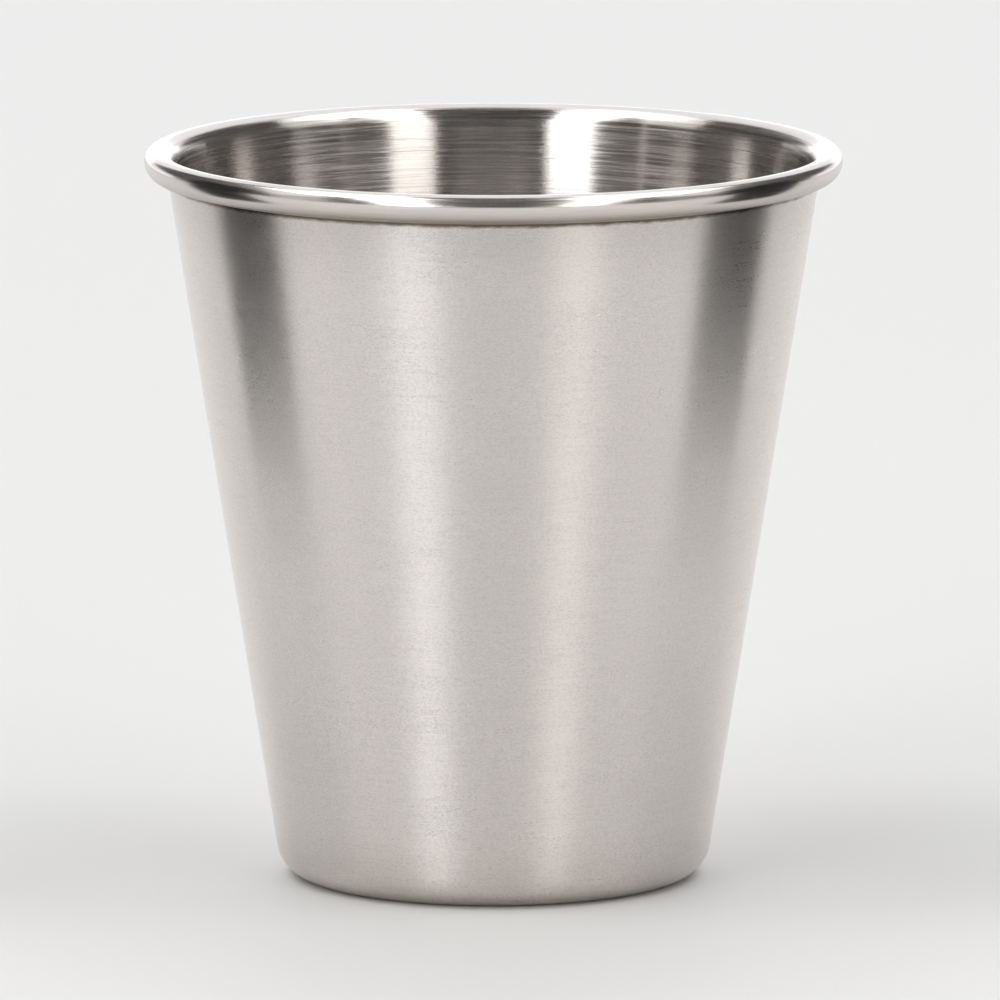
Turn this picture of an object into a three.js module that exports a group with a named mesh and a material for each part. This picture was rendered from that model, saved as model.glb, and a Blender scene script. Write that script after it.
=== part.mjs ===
// Tapered stainless steel shot cup with a rolled rim: one disc of sheet, drawn, then rolled over at its mouth.
// Millimetres, +Z up. The origin is the middle of the base, in the plane that the cup stands on.
import * as THREE from "three";

// The whole cup
const RIM_DIAMETER = 40; // over the outside of the rolled rim
const HEIGHT = 42.1; // from the standing plane to the top of the rolled rim
const BASE_DIAMETER = 24.4; // the outside of the wall, carried straight down to the standing plane
const SHEET = 0.5; // thickness of the steel, the same everywhere

// Base
const CORNER_RADIUS = 2; // outside radius between base and wall
const PUSH_UP_DIAMETER = 17; // where the raised middle of the base starts, so the cup stands on a ring
const PUSH_UP_HEIGHT = 0.4;
const PUSH_UP_BEND = 1.5; // radius of its two bends, at the middle of the sheet

// Rolled rim: the sheet bends outwards, over, down and back in, and ends close to the wall.
// Its three bends follow each other smoothly, and these are their radii on the outside of the roll.
const LIP_RADIUS = 1.1; // from the inside of the wall to the top of the rim
const NOSE_RADIUS = 0.65; // from the top of the rim to its widest
const TUCK_RADIUS = 1.05; // from the widest down and back in
const TUCK_GAP = 0.2; // between the cut edge of the sheet and the wall

// Facets
const FACETS_AROUND = 64;
const CORNER_STEPS = 5;
const PUSH_UP_STEPS = 2;
const WALL_STEPS = 4;
const ROLL_STEPS = 4; // for each bend of the rim

// Follows the middle of the sheet from the axis outwards and notes both of its skins on the way.
// heading is the direction of travel in the (radius, height) plane: 0 is outwards, a quarter turn is up.
class SheetPath {
  constructor(radius, height) {
    this.place = new THREE.Vector2(radius, height);
    this.heading = 0;
    this.under = [];
    this.over = [];
    this.note();
  }

  note() {
    const across = new THREE.Vector2(Math.sin(this.heading), -Math.cos(this.heading));
    this.under.push(this.place.clone().addScaledVector(across, SHEET / 2));
    this.over.push(this.place.clone().addScaledVector(across, -SHEET / 2));
  }

  straight(length, steps = 1) {
    const along = new THREE.Vector2(Math.cos(this.heading), Math.sin(this.heading));
    for (let i = 0; i < steps; i++) {
      this.place.addScaledVector(along, length / steps);
      this.note();
    }
  }

  // radius is that of the middle of the sheet; a positive angle turns upwards, a negative one back down
  bend(radius, angle, steps) {
    const step = angle / steps;
    const chord = 2 * radius * Math.sin(Math.abs(step) / 2);
    for (let i = 0; i < steps; i++) {
      const middle = this.heading + step / 2;
      this.place.x += chord * Math.cos(middle);
      this.place.y += chord * Math.sin(middle);
      this.heading += step;
      this.note();
    }
  }
}

// The outside of the straight wall runs smoothly into the hollow side of the lip's bend.
// It leans outwards from the vertical by wallLean.
const lipHollow = LIP_RADIUS - SHEET;
const lipCentre = new THREE.Vector2(RIM_DIAMETER / 2 - NOSE_RADIUS, HEIGHT - LIP_RADIUS);
const baseToLip = lipCentre.clone().sub(new THREE.Vector2(BASE_DIAMETER / 2, 0));
const wallLean = Math.atan2(baseToLip.x, baseToLip.y) - Math.asin(lipHollow / baseToLip.length());
const wallLength = Math.sqrt(baseToLip.lengthSq() - lipHollow ** 2);

// The corner arc touches the standing plane and the outside of the wall
const cornerTangent = CORNER_RADIUS * Math.tan((Math.PI / 2 - wallLean) / 2);
const cornerStart = BASE_DIAMETER / 2 - cornerTangent;

// The two bends of the raised middle turn by this angle and run outwards by this much together
const pushUpTurn = Math.acos(1 - PUSH_UP_HEIGHT / (2 * PUSH_UP_BEND));
const pushUpRun = 2 * PUSH_UP_BEND * Math.sin(pushUpTurn);

// How far the last bend turns past straight down before a corner of the cut edge is TUCK_GAP from the wall
const wallFromTuck =
  (RIM_DIAMETER / 2 - TUCK_RADIUS - BASE_DIAMETER / 2) * Math.cos(wallLean) -
  (HEIGHT - NOSE_RADIUS) * Math.sin(wallLean);
const nearerCorner = wallFromTuck < TUCK_GAP ? TUCK_RADIUS - SHEET : TUCK_RADIUS;
const tuckTurn = wallLean + Math.acos((TUCK_GAP - wallFromTuck) / nearerCorner);

function cupProfile() {
  const path = new SheetPath(0, PUSH_UP_HEIGHT + SHEET / 2);
  path.straight(PUSH_UP_DIAMETER / 2 - pushUpRun);
  path.bend(PUSH_UP_BEND, -pushUpTurn, PUSH_UP_STEPS);
  path.bend(PUSH_UP_BEND, pushUpTurn, PUSH_UP_STEPS);
  path.straight(cornerStart - PUSH_UP_DIAMETER / 2);
  path.bend(CORNER_RADIUS - SHEET / 2, Math.PI / 2 - wallLean, CORNER_STEPS);
  path.straight(wallLength - cornerTangent, WALL_STEPS);
  path.bend(LIP_RADIUS - SHEET / 2, wallLean - Math.PI / 2, ROLL_STEPS);
  path.bend(NOSE_RADIUS - SHEET / 2, -Math.PI / 2, ROLL_STEPS);
  path.bend(TUCK_RADIUS - SHEET / 2, -tuckTurn, ROLL_STEPS);
  return [...path.under, ...path.over.reverse()];
}

const steel = new THREE.MeshStandardMaterial({ color: 0xbdb8b2, roughness: 0.32, metalness: 1 });

const cupShell = new THREE.Mesh(
  new THREE.LatheGeometry(cupProfile(), FACETS_AROUND).rotateX(Math.PI / 2),
  steel,
);
cupShell.name = "cup_shell";

const shotCup = new THREE.Group();
shotCup.name = "shot_cup";
shotCup.add(cupShell);

export default shotCup;
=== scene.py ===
"""Stainless steel shot cup with a rolled rim: its drawn sheet and finishes, in a pale studio."""
import math

import bpy
import numpy as np
from mathutils import Matrix, Vector


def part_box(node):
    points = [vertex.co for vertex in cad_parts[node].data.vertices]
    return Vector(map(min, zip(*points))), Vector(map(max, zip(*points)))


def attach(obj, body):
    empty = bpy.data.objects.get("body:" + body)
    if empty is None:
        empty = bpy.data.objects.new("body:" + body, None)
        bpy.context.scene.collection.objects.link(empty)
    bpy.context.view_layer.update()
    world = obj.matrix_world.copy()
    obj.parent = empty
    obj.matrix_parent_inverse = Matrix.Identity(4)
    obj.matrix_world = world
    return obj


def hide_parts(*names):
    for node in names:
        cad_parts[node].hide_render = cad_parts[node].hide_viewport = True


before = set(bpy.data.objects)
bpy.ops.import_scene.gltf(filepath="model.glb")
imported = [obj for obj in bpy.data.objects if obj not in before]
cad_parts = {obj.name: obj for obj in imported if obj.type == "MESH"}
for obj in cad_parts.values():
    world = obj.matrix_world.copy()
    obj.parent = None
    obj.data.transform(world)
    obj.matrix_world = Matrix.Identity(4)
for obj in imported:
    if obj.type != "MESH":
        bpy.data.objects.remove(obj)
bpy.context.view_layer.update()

lowest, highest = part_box("cup_shell")

MM = 0.001

# ---- The cup's own sizes, in millimetres ----
RIM_RADIUS = (highest.x - lowest.x) / 2 / MM
HEIGHT = highest.z / MM
BASE_RADIUS = 12.2  # outside of the wall, carried straight down to the standing plane
SHEET = 0.5
CORNER_RADIUS = 2.0
PUSH_UP_RADIUS = 8.5
PUSH_UP_HEIGHT = 0.4
PUSH_UP_BEND = 1.5
LIP_RADIUS = 1.1
NOSE_RADIUS = 0.65
TUCK_RADIUS = 1.05
TUCK_GAP = 0.2
BRUSHED_LIP = 0.5  # the share of the lip's bend that the inside's brushing reaches

# ---- Fineness of the mesh ----
STEPS_AROUND = 288
FLAT_STEP = 0.62
BEND_STEP = 0.085

# Finishes, in the order of the mesh's material slots
OUTSIDE, ROLL, INSIDE, UNDERSIDE = range(4)


# ======================= Shape =======================


class SheetPath:
    """Walks along the middle of the sheet, from the cup's axis outwards, and notes both of its skins."""

    def __init__(self, radius, height):
        self.radius, self.height, self.heading, self.walked = radius, height, 0.0, 0.0
        self.under, self.over = [], []
        self.finishes = (UNDERSIDE, INSIDE)
        self.note()

    def note(self):
        out, up = math.sin(self.heading) * SHEET / 2, -math.cos(self.heading) * SHEET / 2
        self.under.append((self.radius + out, self.height + up, self.walked, self.finishes[0]))
        self.over.append((self.radius - out, self.height - up, self.walked, self.finishes[1]))

    def straight(self, length):
        steps = max(1, round(length / FLAT_STEP))
        for _ in range(steps):
            self.radius += length / steps * math.cos(self.heading)
            self.height += length / steps * math.sin(self.heading)
            self.walked += length / steps
            self.note()

    def bend(self, radius, turn):
        steps = max(6, round(radius * abs(turn) / BEND_STEP))
        chord = 2 * radius * math.sin(abs(turn) / steps / 2)
        for _ in range(steps):
            middle = self.heading + turn / steps / 2
            self.radius += chord * math.cos(middle)
            self.height += chord * math.sin(middle)
            self.heading += turn / steps
            self.walked += radius * abs(turn) / steps
            self.note()


def cup_outline():
    """The sheet's closed section, and the distances walked to where the rim's bends begin.

    Each point of the section is (radius, height, distance walked, finish), from the axis round to the axis.
    """
    across, up = RIM_RADIUS - NOSE_RADIUS - BASE_RADIUS, HEIGHT - LIP_RADIUS
    hollow = LIP_RADIUS - SHEET
    lean = math.atan2(across, up) - math.asin(hollow / math.hypot(across, up))
    wall = math.sqrt(across**2 + up**2 - hollow**2)
    tangent = CORNER_RADIUS * math.tan((math.pi / 2 - lean) / 2)
    push_turn = math.acos(1 - PUSH_UP_HEIGHT / (2 * PUSH_UP_BEND))
    tuck_across, tuck_up = RIM_RADIUS - TUCK_RADIUS - BASE_RADIUS, HEIGHT - NOSE_RADIUS
    from_wall = tuck_across * math.cos(lean) - tuck_up * math.sin(lean)
    corner = TUCK_RADIUS - SHEET if from_wall < TUCK_GAP else TUCK_RADIUS
    tuck_turn = lean + math.acos((TUCK_GAP - from_wall) / corner)

    path = SheetPath(0.0, PUSH_UP_HEIGHT + SHEET / 2)
    path.straight(PUSH_UP_RADIUS - 2 * PUSH_UP_BEND * math.sin(push_turn))
    path.bend(PUSH_UP_BEND, -push_turn)
    path.bend(PUSH_UP_BEND, push_turn)
    path.straight(BASE_RADIUS - tangent - PUSH_UP_RADIUS)
    path.finishes = (OUTSIDE, INSIDE)
    path.bend(CORNER_RADIUS - SHEET / 2, math.pi / 2 - lean)
    path.straight(wall - tangent)
    marks = {"wall_top": path.walked}
    path.finishes = (ROLL, INSIDE)
    path.bend(LIP_RADIUS - SHEET / 2, (lean - math.pi / 2) * BRUSHED_LIP)
    path.finishes = (ROLL, ROLL)
    path.bend(LIP_RADIUS - SHEET / 2, (lean - math.pi / 2) * (1 - BRUSHED_LIP))
    marks["crest"] = path.walked
    path.bend(NOSE_RADIUS - SHEET / 2, -math.pi / 2)
    marks["widest"] = path.walked
    path.bend(TUCK_RADIUS - SHEET / 2, -tuck_turn)
    return path.under + path.over[::-1], marks


def turn_round_axis(name, outline, finishes):
    """A closed solid of revolution about Z. Each face takes the finish of the outline's further-out point."""
    rings = outline[1:-1]
    turns = np.arange(STEPS_AROUND) * 2 * math.pi / STEPS_AROUND
    out = np.stack([np.cos(turns), np.sin(turns)], axis=1)
    points, strokes = [], []
    for radius, height, walked, _ in rings:
        for x, y in out:
            points.append((radius * x * MM, radius * y * MM, height * MM))
            strokes.append((radius * x, radius * y, walked))
    first, last = len(points), len(points) + 1
    for _, height, walked, _ in (outline[0], outline[-1]):
        points.append((0, 0, height * MM))
        strokes.append((0, 0, walked))

    faces, slots = [], []
    for j in range(STEPS_AROUND):
        k = (j + 1) % STEPS_AROUND
        faces.append((first, k, j))
        slots.append(rings[0][3])
        for i in range(len(rings) - 1):
            a, b = i * STEPS_AROUND, (i + 1) * STEPS_AROUND
            faces.append((a + j, a + k, b + k, b + j))
            further_out = max(rings[i], rings[i + 1], key=lambda ring: ring[2])
            slots.append(further_out[3])
        end = (len(rings) - 1) * STEPS_AROUND
        faces.append((last, end + j, end + k))
        slots.append(rings[-1][3])

    mesh = bpy.data.meshes.new(name)
    mesh.from_pydata(points, [], faces)
    for finish in finishes:
        mesh.materials.append(finish)
    mesh.polygons.foreach_set("material_index", slots)
    brushed = mesh.attributes.new("brushing", "FLOAT_VECTOR", "POINT")
    brushed.data.foreach_set("vector", np.array(strokes, np.float32).ravel())
    mesh.shade_smooth()
    mesh.update()
    piece = bpy.data.objects.new(name, mesh)
    bpy.context.scene.collection.objects.link(piece)
    return piece


# ======================= Finishes =======================


STEEL = (0.815, 0.768, 0.735, 1)
DULL_STEEL = (0.54, 0.512, 0.485, 1)
DARK_STEEL = (0.30, 0.28, 0.26, 1)
PAINTED_SHADE_TONE = (0.13, 0.095, 0.065, 1)  # brownish dark steel, mixed in as painted shade in the groove and under the roll, and as the darkening towards the base
PALE_FLOOR = (0.79, 0.785, 0.775, 1)
PALER_FLOOR = (0.81, 0.805, 0.795, 1)
BLACK_CARD = (0.02, 0.02, 0.02, 1)

QUARTER_TURN = 0.25
MIX_FIRST, MIX_SECOND, MIXED = 6, 7, 2  # a Mix node's colour sockets, whose names its other sockets share


class Value:
    """Something that varies over a surface. Sums, differences and products of it add Math nodes."""

    def __init__(self, nodes, socket):
        self.nodes, self.socket = nodes, socket

    def maths(self, operation, *terms):
        return self.nodes.node("ShaderNodeMath", {"operation": operation}, dict(enumerate(terms)))

    def __add__(self, other):
        return self.maths("ADD", self, other)

    def __sub__(self, other):
        return self.maths("SUBTRACT", self, other)

    def __rsub__(self, other):
        return self.maths("SUBTRACT", other, self)

    def __mul__(self, other):
        return self.maths("MULTIPLY", self, other)

    __radd__, __rmul__ = __add__, __mul__

    def ramp(self, low, high):
        """0 below low, 1 above high, and smooth between."""
        return self.nodes.node(
            "ShaderNodeMapRange",
            {"interpolation_type": "SMOOTHSTEP"},
            {"Value": self, "From Min": low, "From Max": high},
        )


class Nodes:
    """The node tree of a material or of the surroundings, and the shader that it feeds."""

    def __init__(self, owner, shader):
        owner.use_nodes = True
        self.tree = owner.node_tree
        self.shader = self.tree.nodes[shader]

    def feed(self, socket, value):
        if isinstance(value, Value):
            self.tree.links.new(value.socket, socket)
        else:
            socket.default_value = value

    def set(self, socket, value):
        self.feed(self.shader.inputs[socket], value)

    def node(self, kind, settings=(), sockets=(), output=0):
        made = self.tree.nodes.new(kind)
        for name, value in dict(settings).items():
            setattr(made, name, value)
        for name, value in dict(sockets).items():
            self.feed(made.inputs[name], value)
        return Value(self, made.outputs[output])


class Finish(Nodes):
    """One material. Brushing runs its highlights across the strokes."""

    def __init__(self, name, metallic=1.0, brushing=0.0):
        self.material = bpy.data.materials.new(name)
        super().__init__(self.material, "Principled BSDF")
        self.set("Metallic", metallic)
        if brushing:
            self.set("Anisotropic", brushing)
            self.set("Anisotropic Rotation", QUARTER_TURN)

    def brushing_place(self):
        """Millimetres: two distances from the cup's axis, and the distance walked along the sheet."""
        return self.node("ShaderNodeAttribute", {"attribute_name": "brushing"}, output="Vector")

    def strokes(self, size, start=(0, 0, 0)):
        """Noise whose marks are about size millimetres: round the cup, and across the brushing."""
        around, across = size
        scaled = self.node(
            "ShaderNodeVectorMath",
            {"operation": "MULTIPLY_ADD"},
            {0: self.brushing_place(), 1: (1 / around, 1 / around, 1 / across), 2: start},
        )
        sockets = {"Vector": scaled, "Scale": 1.0, "Detail": 3.0, "Roughness": 0.6}
        return self.node("ShaderNodeTexNoise", {}, sockets)

    def walked(self):
        """The distance along the sheet from the cup's axis, in millimetres."""
        return self.node("ShaderNodeSeparateXYZ", {}, {"Vector": self.brushing_place()}, output="Z")

    def blend(self, first, second, share):
        """A colour from first, where share is 0, to second, where it is 1."""
        sockets = {"Factor": share, MIX_FIRST: first, MIX_SECOND: second}
        return self.node("ShaderNodeMix", {"data_type": "RGBA"}, sockets, output=MIXED)

    def bump(self, height, depth):
        sockets = {"Height": height, "Distance": depth * MM, "Strength": 1.0}
        self.set("Normal", self.node("ShaderNodeBump", {}, sockets))


def brushed_outside(marks):
    """Satin wall: fine strokes round the cup, smudged a little, with painted shade in the groove and on the
    wall under the roll, and darker towards the base.
    """
    finish = Finish("satin_brushed_steel", brushing=0.9)
    long_strokes = finish.strokes((2.5, 0.09)).ramp(0.3, 0.7)
    grain = finish.strokes((0.16, 0.08), (7.1, 3.3, 9.7)).ramp(0.34, 0.66)
    cloud = finish.strokes((6.0, 3.5), (2.7, 8.1, 4.9)).ramp(0.35, 0.65)
    ragged = finish.strokes((0.8, 0.4), (1.9, 5.2, 8.3))
    walked = finish.walked()
    top = marks["wall_top"]
    # painted shade on the wall's top, under the roll
    under_roll = walked.ramp(top - 5.0, top - 0.8)
    # painted shade in the groove under the roll, ragged at its edge
    groove = (walked + ragged * 0.25).ramp(top - 0.95, top - 0.70)
    # darker towards the base, in patches
    foot = 1 - walked.ramp(BASE_RADIUS - 1.0, BASE_RADIUS + 4.0)
    clean = 0.40 + long_strokes * 0.22 + grain * 0.55 + cloud * 0.12
    bright = finish.blend(DULL_STEEL, STEEL, clean)
    # painted shade under the roll and in the groove, plus the darkening towards the base, all mixed towards
    # the brownish shade tone
    shade_and_darkening = under_roll * 0.1 + groove * 0.85 + foot * (0.11 + cloud * 0.12)
    finish.set("Base Color", finish.blend(bright, PAINTED_SHADE_TONE, shade_and_darkening))
    finish.set("Roughness", 0.25 + long_strokes * 0.04 + cloud * 0.04 + grain * 0.05)
    finish.bump(long_strokes + grain, 0.0007)
    return finish.material


def polished_roll(marks):
    """The rolled rim: satin at the inside wall, buffed over its nose, with painted shade where it tucks in.
    """
    finish = Finish("buffed_steel")
    marks_round = finish.strokes((2.5, 0.06), (1.3, 6.1, 2.2)).ramp(0.3, 0.7)
    walked = finish.walked()
    satin = 1 - walked.ramp(marks["wall_top"], marks["crest"])
    # painted shade on the roll's underside, where it tucks in towards the wall
    tucked = walked.ramp(marks["widest"] - 0.1, marks["widest"] + 1.1)
    bright = finish.blend(DULL_STEEL, STEEL, 0.7 + marks_round * 0.3)
    finish.set("Base Color", finish.blend(bright, PAINTED_SHADE_TONE, tucked * 0.72))
    finish.set("Roughness", 0.17 + marks_round * 0.05 + satin * 0.12 + tucked * 0.1)
    nicks = finish.strokes((0.5, 0.35), (8.8, 2.4, 6.1)).ramp(0.67, 0.75)
    finish.bump(marks_round + nicks * 6, 0.0005)
    return finish.material


def brushed_inside():
    """The inside wall, with coarser, longer turning scratches."""
    finish = Finish("scratch_brushed_steel", brushing=1.0)
    long_strokes = finish.strokes((8.0, 0.16), (5.5, 1.7, 3.9)).ramp(0.36, 0.64)
    fine_strokes = finish.strokes((2.5, 0.07), (3.1, 9.4, 0.8)).ramp(0.3, 0.7)
    scratches = finish.strokes((11.0, 0.09), (9.2, 4.4, 7.3)).ramp(0.58, 0.68)
    clean = 0.4 + long_strokes * 0.4 + fine_strokes * 0.2
    finish.set("Base Color", finish.blend(DARK_STEEL, STEEL, clean))
    finish.set("Roughness", 0.14 + long_strokes * 0.07 + fine_strokes * 0.05 + scratches * 0.20)
    finish.bump(long_strokes + fine_strokes, 0.0008)
    return finish.material


def turned_underside():
    """The base, with concentric turning marks."""
    finish = Finish("turned_steel", brushing=0.6)
    rings = finish.strokes((6.0, 0.09), (4.2, 2.1, 6.6))
    finish.set("Base Color", finish.blend(DULL_STEEL, STEEL, 0.4 + rings * 0.6))
    finish.set("Roughness", 0.36 + rings * 0.1)
    finish.bump(rings, 0.0015)
    return finish.material


# ======================= Studio =======================

CUP_MIDDLE = Vector((0, 0, 0.0217))
LAMP_DISTANCE = 2.2
FLOOR_SIDE = 12.0

# The surroundings' brightness up to HORIZON, above HAZE_TOP and between, as the upward part of a direction
HORIZON, HAZE_TOP = 0.01, 0.05
HORIZON_BRIGHTNESS, STUDIO_BRIGHTNESS = 0.72, 0.10

# The cards beside the cup
CARD_DISTANCE, CARD_FOOT, CARD_TOP = 0.045, 0.018, 0.06

# The camera: millimetres for its lens and sensor, metres and degrees for where it stands
LENS, SENSOR = 563.9, 36
CAMERA_DISTANCE, CAMERA_ELEVATION, CAMERA_ASIDE = 0.9, 9.14, 0.00037

# What a lamp lights or is blocked by
CUP_ONLY = bpy.data.collections.new("cup_only")
FLOOR_ONLY = bpy.data.collections.new("floor_only")


def direction(azimuth, elevation):
    """From the cup's middle. Azimuth 0 is towards the camera and 90 to its right, in degrees."""
    a, e = math.radians(azimuth), math.radians(elevation)
    return Vector((math.sin(a) * math.cos(e), -math.cos(a) * math.cos(e), math.sin(e)))


def aim(thing, outward, distance, upward=Vector((0, 0, 1))):
    """Stands a lamp or a camera at distance from the cup's middle, turned to face it."""
    across = upward.cross(outward).normalized()
    thing.location = CUP_MIDDLE + distance * outward
    thing.rotation_euler = Matrix((across, outward.cross(across), outward)).transposed().to_euler()


def softbox(name, low, high, width, brightness, colour=(1, 1, 1)):
    """A long flat panel. Seen from the cup, it runs from one direction to another and spans width degrees.

    It is made twice, once for the cup and once for the floor, where the flags cast no shadow.
    """
    low, high = direction(*low), direction(*high)
    lamp = bpy.data.lights.new(name, "AREA")
    lamp.shape = "RECTANGLE"
    lamp.size = 2 * LAMP_DISTANCE * math.tan(math.radians(width) / 2)
    lamp.size_y = 2 * LAMP_DISTANCE * math.tan(low.angle(high) / 2)
    lamp.energy = brightness * math.pi * lamp.size * lamp.size_y
    lamp.color = colour
    for lit, blockers in ((CUP_ONLY, None), (FLOOR_ONLY, CUP_ONLY)):
        box = bpy.data.objects.new(f"{name}_for_{lit.name}", lamp)
        aim(box, (low + high).normalized(), LAMP_DISTANCE, high - low)
        box.visible_camera = False
        box.light_linking.receiver_collection = lit
        box.light_linking.blocker_collection = blockers
        bpy.context.scene.collection.objects.link(box)


def floor():
    finish = Finish("pale_floor", metallic=0.0)
    place = finish.node("ShaderNodeTexCoord", output="Object")
    cloud = finish.node("ShaderNodeTexNoise", {}, {"Vector": place, "Scale": 9.0, "Detail": 2.0})
    finish.set("Base Color", finish.blend(PALE_FLOOR, PALER_FLOOR, cloud))
    finish.set("Roughness", 0.65)
    half = FLOOR_SIDE / 2
    corners = [(-half, -half, 0), (half, -half, 0), (half, half, 0), (-half, half, 0)]
    mesh = bpy.data.meshes.new("studio_floor")
    mesh.from_pydata(corners, [], [(0, 1, 2, 3)])
    mesh.materials.append(finish.material)
    plane = bpy.data.objects.new("studio_floor", mesh)
    bpy.context.scene.collection.objects.link(plane)
    FLOOR_ONLY.objects.link(plane)


def flag(name, azimuth, width):
    """A black card held beside the cup, out of the camera's sight, that darkens what the steel mirrors."""
    finish = Finish("black_card", metallic=0.0)
    finish.set("Base Color", BLACK_CARD)
    finish.set("Roughness", 0.8)
    half = width / 2
    corners = [(-half, 0, CARD_FOOT), (half, 0, CARD_FOOT), (half, 0, CARD_TOP), (-half, 0, CARD_TOP)]
    mesh = bpy.data.meshes.new(name)
    mesh.from_pydata(corners, [], [(0, 1, 2, 3)])
    mesh.materials.append(finish.material)
    card = bpy.data.objects.new(name, mesh)
    a = math.radians(azimuth)
    card.location = (CARD_DISTANCE * math.sin(a), -CARD_DISTANCE * math.cos(a), 0)
    card.rotation_euler = (0, 0, a)
    card.visible_camera = card.visible_diffuse = False
    bpy.context.scene.collection.objects.link(card)


def surroundings():
    """A dim studio, pale near the floor's far edge."""
    world = bpy.data.worlds.new("studio")
    studio = Nodes(world, "Background")
    place = studio.node("ShaderNodeTexCoord", output="Generated")
    upward = studio.node("ShaderNodeSeparateXYZ", {}, {"Vector": place}, output="Z")
    edges = {"Value": upward, "From Min": HORIZON, "From Max": HAZE_TOP}
    brightness = {"To Min": HORIZON_BRIGHTNESS, "To Max": STUDIO_BRIGHTNESS}
    studio.set("Strength", studio.node("ShaderNodeMapRange", {}, {**edges, **brightness}))
    studio.set("Color", (1, 0.99, 0.98, 1))
    bpy.context.scene.world = world


def camera():
    lens = bpy.data.cameras.new("camera")
    lens.sensor_width, lens.lens = SENSOR, LENS
    lens.clip_start, lens.clip_end = 0.01, 20
    eye = bpy.data.objects.new("camera", lens)
    aim(eye, direction(0, CAMERA_ELEVATION), CAMERA_DISTANCE)
    eye.location.x += CAMERA_ASIDE
    bpy.context.scene.collection.objects.link(eye)
    bpy.context.scene.camera = eye


camera()
surroundings()
floor()
softbox("left_strip", (-26.5, 3), (-33, 30), 17, 3.0, (0.98, 1, 1.02))
softbox("left_strip_top", (-33, 30), (-90, 71), 18, 2.6)
softbox("right_strip", (28, 3), (35, 30), 16, 2.2, (1.02, 1, 0.97))
softbox("right_strip_top", (35, 30), (90, 70), 18, 1.8)
softbox("left_fill", (-65, 3), (-72, 28), 21, 0.5, (1.04, 1, 0.96))
softbox("left_fill_top", (-72, 28), (-108, 57), 21, 0.85)
softbox("right_fill", (66, 3), (72, 28), 22, 0.26, (1.04, 1, 0.95))
softbox("right_fill_top", (72, 28), (108, 57), 22, 0.75)
softbox("left_overhead", (-100, 50), (-100, 76), 36, 2.2)
softbox("right_overhead", (100, 50), (100, 76), 36, 2.2)
softbox("backdrop", (180, -1), (180, 75), 50, 0.9, (0.99, 1, 1.03))
softbox("backdrop_foot", (180, -1), (180, 12), 100, 0.9, (0.99, 1, 1.03))
flag("left_flag", -83.6, 0.0225)
flag("right_flag", 83, 0.024)

outline, marks = cup_outline()
finishes = [brushed_outside(marks), polished_roll(marks), brushed_inside(), turned_underside()]
cup = turn_round_axis("drawn_cup", outline, finishes)
CUP_ONLY.objects.link(cup)
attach(cup, "root")
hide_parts("cup_shell")

bpy.context.scene.view_settings.view_transform = "Standard"
